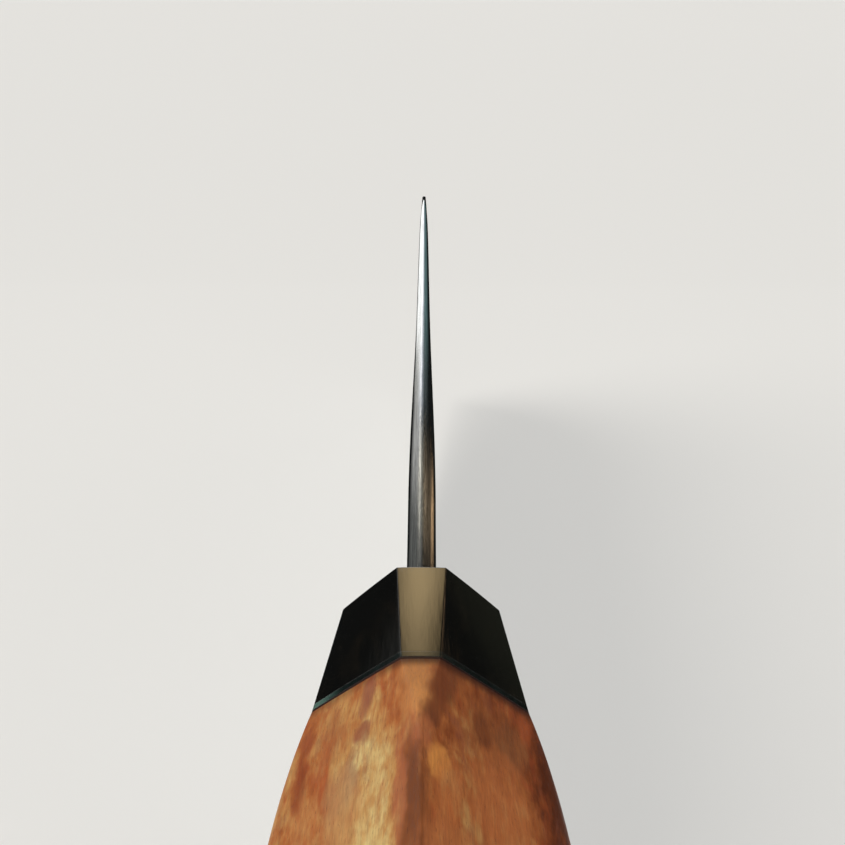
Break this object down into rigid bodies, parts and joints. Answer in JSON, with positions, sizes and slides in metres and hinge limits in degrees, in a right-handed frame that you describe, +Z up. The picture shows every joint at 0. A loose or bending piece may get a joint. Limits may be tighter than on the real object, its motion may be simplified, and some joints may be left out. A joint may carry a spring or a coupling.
{
  "type": "santoku knife",
  "caption": "Santoku kitchen knife with a tapered, crowned spine, a black octagonal ferrule, a thin teal spacer and a swelling figured-wood handle on a slotted dowel.",
  "frame": {"origin": "middle of the handle's flat butt, on the handle's axis", "axes": "+X from the butt to the tip of the blade, +Z up to the spine with the cutting edge below, Y across the blade"},
  "size_m": [0.316, 0.0294, 0.0529],
  "materials": {
    "polished_steel": "fine satin flanks, polished crowned spine",
    "black_horn": "polished black horn",
    "teal_plate": "polished dark teal plate",
    "dark_fibre": "dark fibre, sanded flush",
    "figured_wood": "oiled figured hardwood, satin",
    "dowel_wood": "plain hardwood dowel"
  },
  "bodies": {
    "root": {"blade": "polished_steel", "ferrule": "black_horn", "spacer": "teal_plate", "liner": "dark_fibre", "handle_body": "figured_wood", "tang_dowel": "dowel_wood"}
  },
  "joints": []
}
